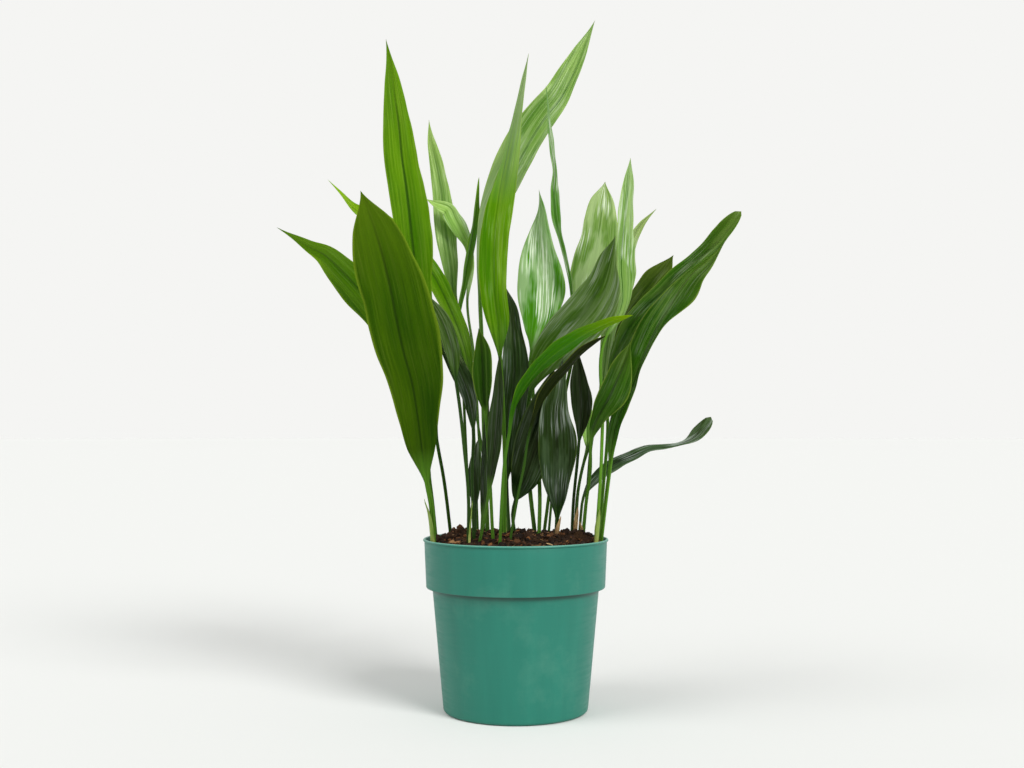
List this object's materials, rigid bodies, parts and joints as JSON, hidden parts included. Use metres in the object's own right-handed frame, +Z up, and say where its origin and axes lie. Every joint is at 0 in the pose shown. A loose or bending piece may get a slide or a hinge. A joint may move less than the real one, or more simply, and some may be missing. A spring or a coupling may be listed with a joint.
{
  "type": "potted cast iron plant",
  "caption": "Clump of long-stalked strap leaves rising from creeping stems under the soil of a round tapered plastic nursery pot with a banded rim.",
  "frame": {"origin": "on the pot's axis, in the plane that the pot stands on", "axes": "+Z up along the pot's axis, +X to the right and +Y to the back as the plant is seen from its front"},
  "size_m": [0.4695, 0.2789, 0.7492],
  "materials": {
    "pot_plastic": "satin",
    "potting_mix": "matte",
    "rhizome": "matte",
    "leaf_bright": "satin",
    "leaf_mid": "satin",
    "leaf_pale": "satin",
    "leaf_dark": "satin",
    "sheath_green": "matte",
    "sheath_dry": "matte"
  },
  "bodies": {
    "root": {"pot": "pot_plastic", "soil": "potting_mix", "rhizome_left": "rhizome", "rhizome_middle_left": "rhizome", "rhizome_inner_left": "rhizome", "rhizome_front": "rhizome", "rhizome_middle": "rhizome", "rhizome_inner_right": "rhizome", "rhizome_right": "rhizome", "leaf_tall_left": "leaf_bright", "leaf_front_left": "leaf_bright", "leaf_low_left": "leaf_bright", "leaf_back_left": "leaf_pale", "leaf_light_left": "leaf_pale", "leaf_folded_over": "leaf_pale", "leaf_edge_left": "leaf_dark", "leaf_tall_middle": "leaf_bright", "leaf_tall_right": "leaf_mid", "leaf_twisted_thin": "leaf_mid", "leaf_glossy_middle": "leaf_mid", "leaf_glossy_right": "leaf_pale", "leaf_narrow_right": "leaf_pale", "leaf_bent_tip": "leaf_mid", "leaf_broad_grey": "leaf_mid", "leaf_bright_arch": "leaf_bright", "leaf_olive_arch": "leaf_dark", "leaf_far_right": "leaf_dark", "leaf_broad_right": "leaf_mid", "leaf_olive_right": "leaf_dark", "leaf_front_right": "leaf_mid", "leaf_low_right": "leaf_dark", "leaf_dark_front": "leaf_dark", "leaf_black_back": "leaf_dark", "leaf_small_back": "leaf_pale", "leaf_dark_middle": "leaf_dark", "leaf_small_upright": "leaf_mid", "leaf_grey_left": "leaf_pale", "leaf_dark_left": "leaf_dark", "leaf_small_dark": "leaf_dark", "leaf_edge_young": "leaf_mid", "leaf_lean_young": "leaf_mid", "leaf_dark_low": "leaf_dark", "sheath_front_left": "sheath_green", "sheath_grey_left": "sheath_green", "sheath_tall_middle": "sheath_green", "sheath_narrow_right": "sheath_green", "sheath_dark_front": "sheath_dry", "sheath_front_right": "sheath_dry", "sheath_bent_tip": "sheath_dry"}
  },
  "joints": []
}
